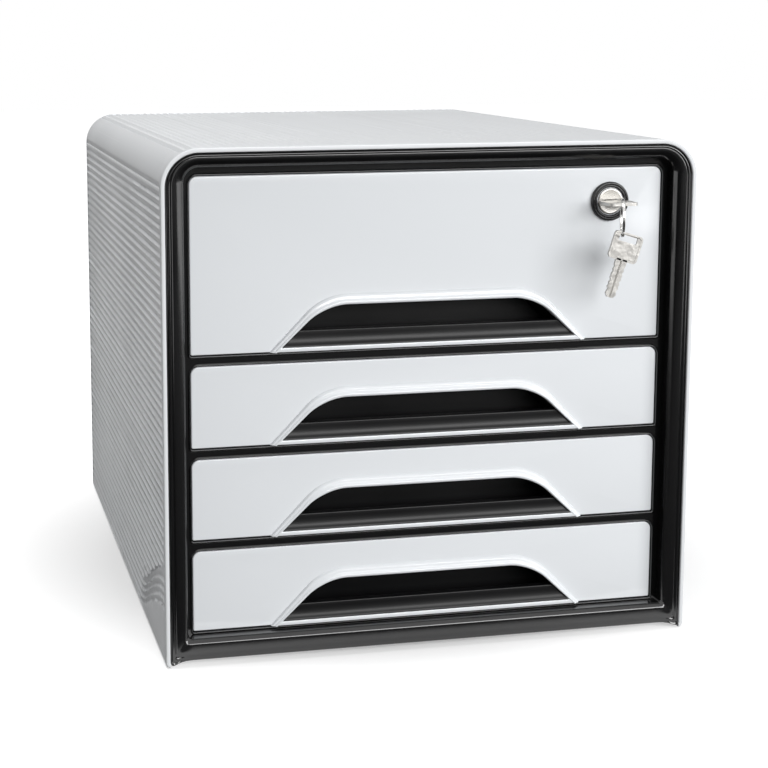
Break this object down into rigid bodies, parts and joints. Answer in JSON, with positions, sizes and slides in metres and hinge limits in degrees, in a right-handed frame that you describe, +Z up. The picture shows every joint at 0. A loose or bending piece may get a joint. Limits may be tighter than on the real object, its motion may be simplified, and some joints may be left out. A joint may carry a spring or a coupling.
{
  "type": "desktop file drawer",
  "caption": "Desktop file drawer cabinet with a ribbed cover, flush drawers with pocket grips, and a cam lock with keys on the top drawer.",
  "frame": {"origin": "on the floor under the middle of the whole object's bounding box, hanging keys included", "axes": "+Z up, front faces -Y, +X to the right seen from the front, drawers open towards -Y"},
  "size_m": [0.288, 0.3833, 0.27],
  "materials": {
    "cover_plastic": "light grey moulded polystyrene, satin gloss, fine ribs",
    "frame_plastic": "black polystyrene, high gloss",
    "front_plastic": "white polystyrene, high gloss",
    "tray_plastic": "black polystyrene, gloss",
    "inner_plastic": "black polystyrene, fine matt grain",
    "foot_rubber": "black rubber, matt",
    "screw_steel": "zinc-plated steel",
    "bezel_plastic": "black nylon, gloss",
    "lock_metal": "nickel-plated zinc, satin",
    "plug_metal": "chromed zinc, polished",
    "wafer_brass": "plain stamped brass",
    "key_metal": "nickel-plated steel, polished, fine wear",
    "ring_metal": "nickel-plated spring steel"
  },
  "bodies": {
    "cabinet": {"outer_cover": "cover_plastic", "front_frame": "frame_plastic", "left_runner_panel": "inner_plastic", "right_runner_panel": "inner_plastic", "back_panel": "inner_plastic", "base_plate": "inner_plastic", "base_screws": "screw_steel", "back_screws": "screw_steel", "foot_front_left": "foot_rubber", "foot_front_right": "foot_rubber", "foot_back_left": "foot_rubber", "foot_back_right": "foot_rubber"},
    "drawer_1": {"drawer_front_1": "front_plastic", "drawer_tray_1": "tray_plastic", "lock_bezel": "bezel_plastic", "lock_barrel": "lock_metal", "lock_nut": "lock_metal"},
    "drawer_2": {"drawer_front_2": "front_plastic", "drawer_tray_2": "tray_plastic"},
    "drawer_3": {"drawer_front_3": "front_plastic", "drawer_tray_3": "tray_plastic"},
    "drawer_4": {"drawer_front_4": "front_plastic", "drawer_tray_4": "tray_plastic"},
    "lock_plug": {"lock_plug": "plug_metal", "lock_wafers": "wafer_brass", "lock_cam": "lock_metal", "cam_screw": "screw_steel"},
    "key": {"key": "key_metal"},
    "key_ring": {"key_ring": "ring_metal"},
    "spare_key": {"spare_key": "key_metal"}
  },
  "joints": [
    {"name": "drawer_1_slide", "type": "slide", "parent": "cabinet", "child": "drawer_1", "axis": [0, -1, 0], "range_m": [0, 0.24]},
    {"name": "drawer_2_slide", "type": "slide", "parent": "cabinet", "child": "drawer_2", "axis": [0, -1, 0], "range_m": [0, 0.24]},
    {"name": "drawer_3_slide", "type": "slide", "parent": "cabinet", "child": "drawer_3", "axis": [0, -1, 0], "range_m": [0, 0.24]},
    {"name": "drawer_4_slide", "type": "slide", "parent": "cabinet", "child": "drawer_4", "axis": [0, -1, 0], "range_m": [0, 0.24]},
    {"name": "lock_turn", "type": "hinge", "parent": "drawer_1", "child": "lock_plug", "pos_m": [0.0987, -0.15827, 0.237], "axis": [0, 1, 0], "range_deg": [0, 90]},
    {"name": "key_pull", "type": "slide", "parent": "lock_plug", "child": "key", "axis": [0, -1, 0], "range_m": [0, 0.024]},
    {"name": "ring_swing", "type": "hinge", "parent": "key", "child": "key_ring", "pos_m": [0.0987, -0.17457, 0.237], "axis": [-0.9455, 0.3256, 0], "range_deg": [0, 40]},
    {"name": "spare_swing", "type": "hinge", "parent": "key_ring", "child": "spare_key", "pos_m": [0.09626, -0.18167, 0.2209], "axis": [0, 1, 0], "range_deg": [-20, 15]}
  ]
}
